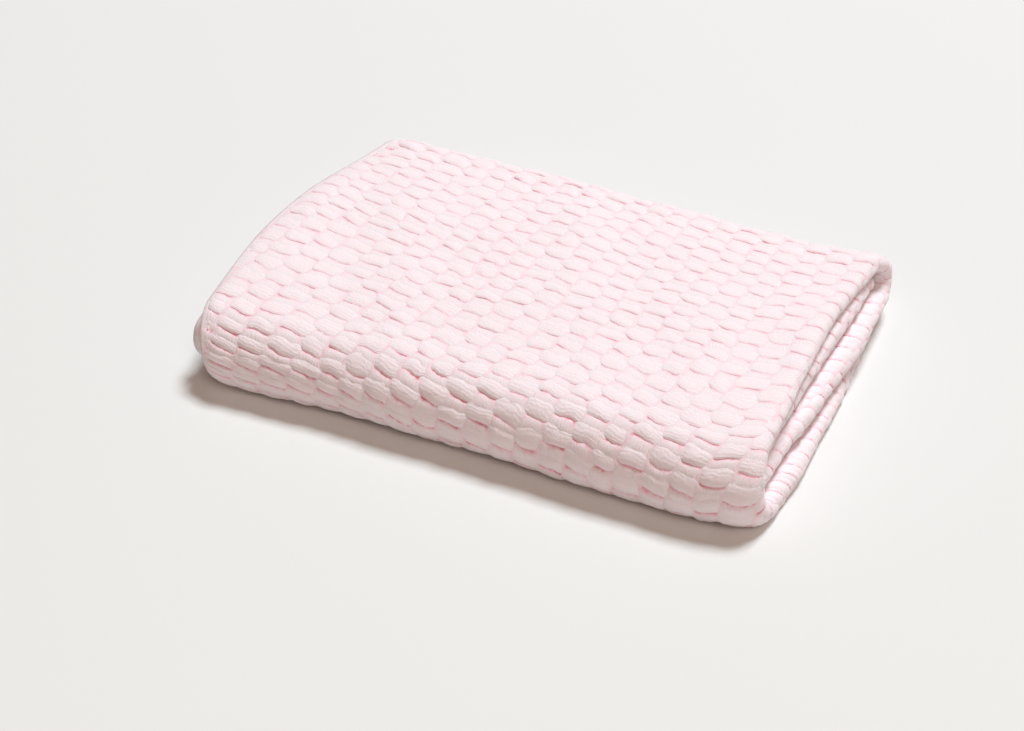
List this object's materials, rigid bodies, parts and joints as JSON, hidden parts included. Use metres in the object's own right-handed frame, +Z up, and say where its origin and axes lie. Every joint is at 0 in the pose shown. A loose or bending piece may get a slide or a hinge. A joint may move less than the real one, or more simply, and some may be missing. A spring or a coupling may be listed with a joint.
{
  "type": "basket weave blanket",
  "caption": "Soft cotton basket weave blanket, doubled and folded into a low rectangular stack with a round front fold and a folded end.",
  "frame": {"origin": "on the surface the blanket rests on, under the middle of the folded stack's box", "axes": "+X along the stack to its folded end, with the hems at -X; +Y from the front fold to the back fold; +Z up"},
  "size_m": [0.3824, 0.2771, 0.05],
  "materials": {
    "cotton_weave": "matte"
  },
  "bodies": {
    "root": {"blanket": "cotton_weave"}
  },
  "joints": []
}
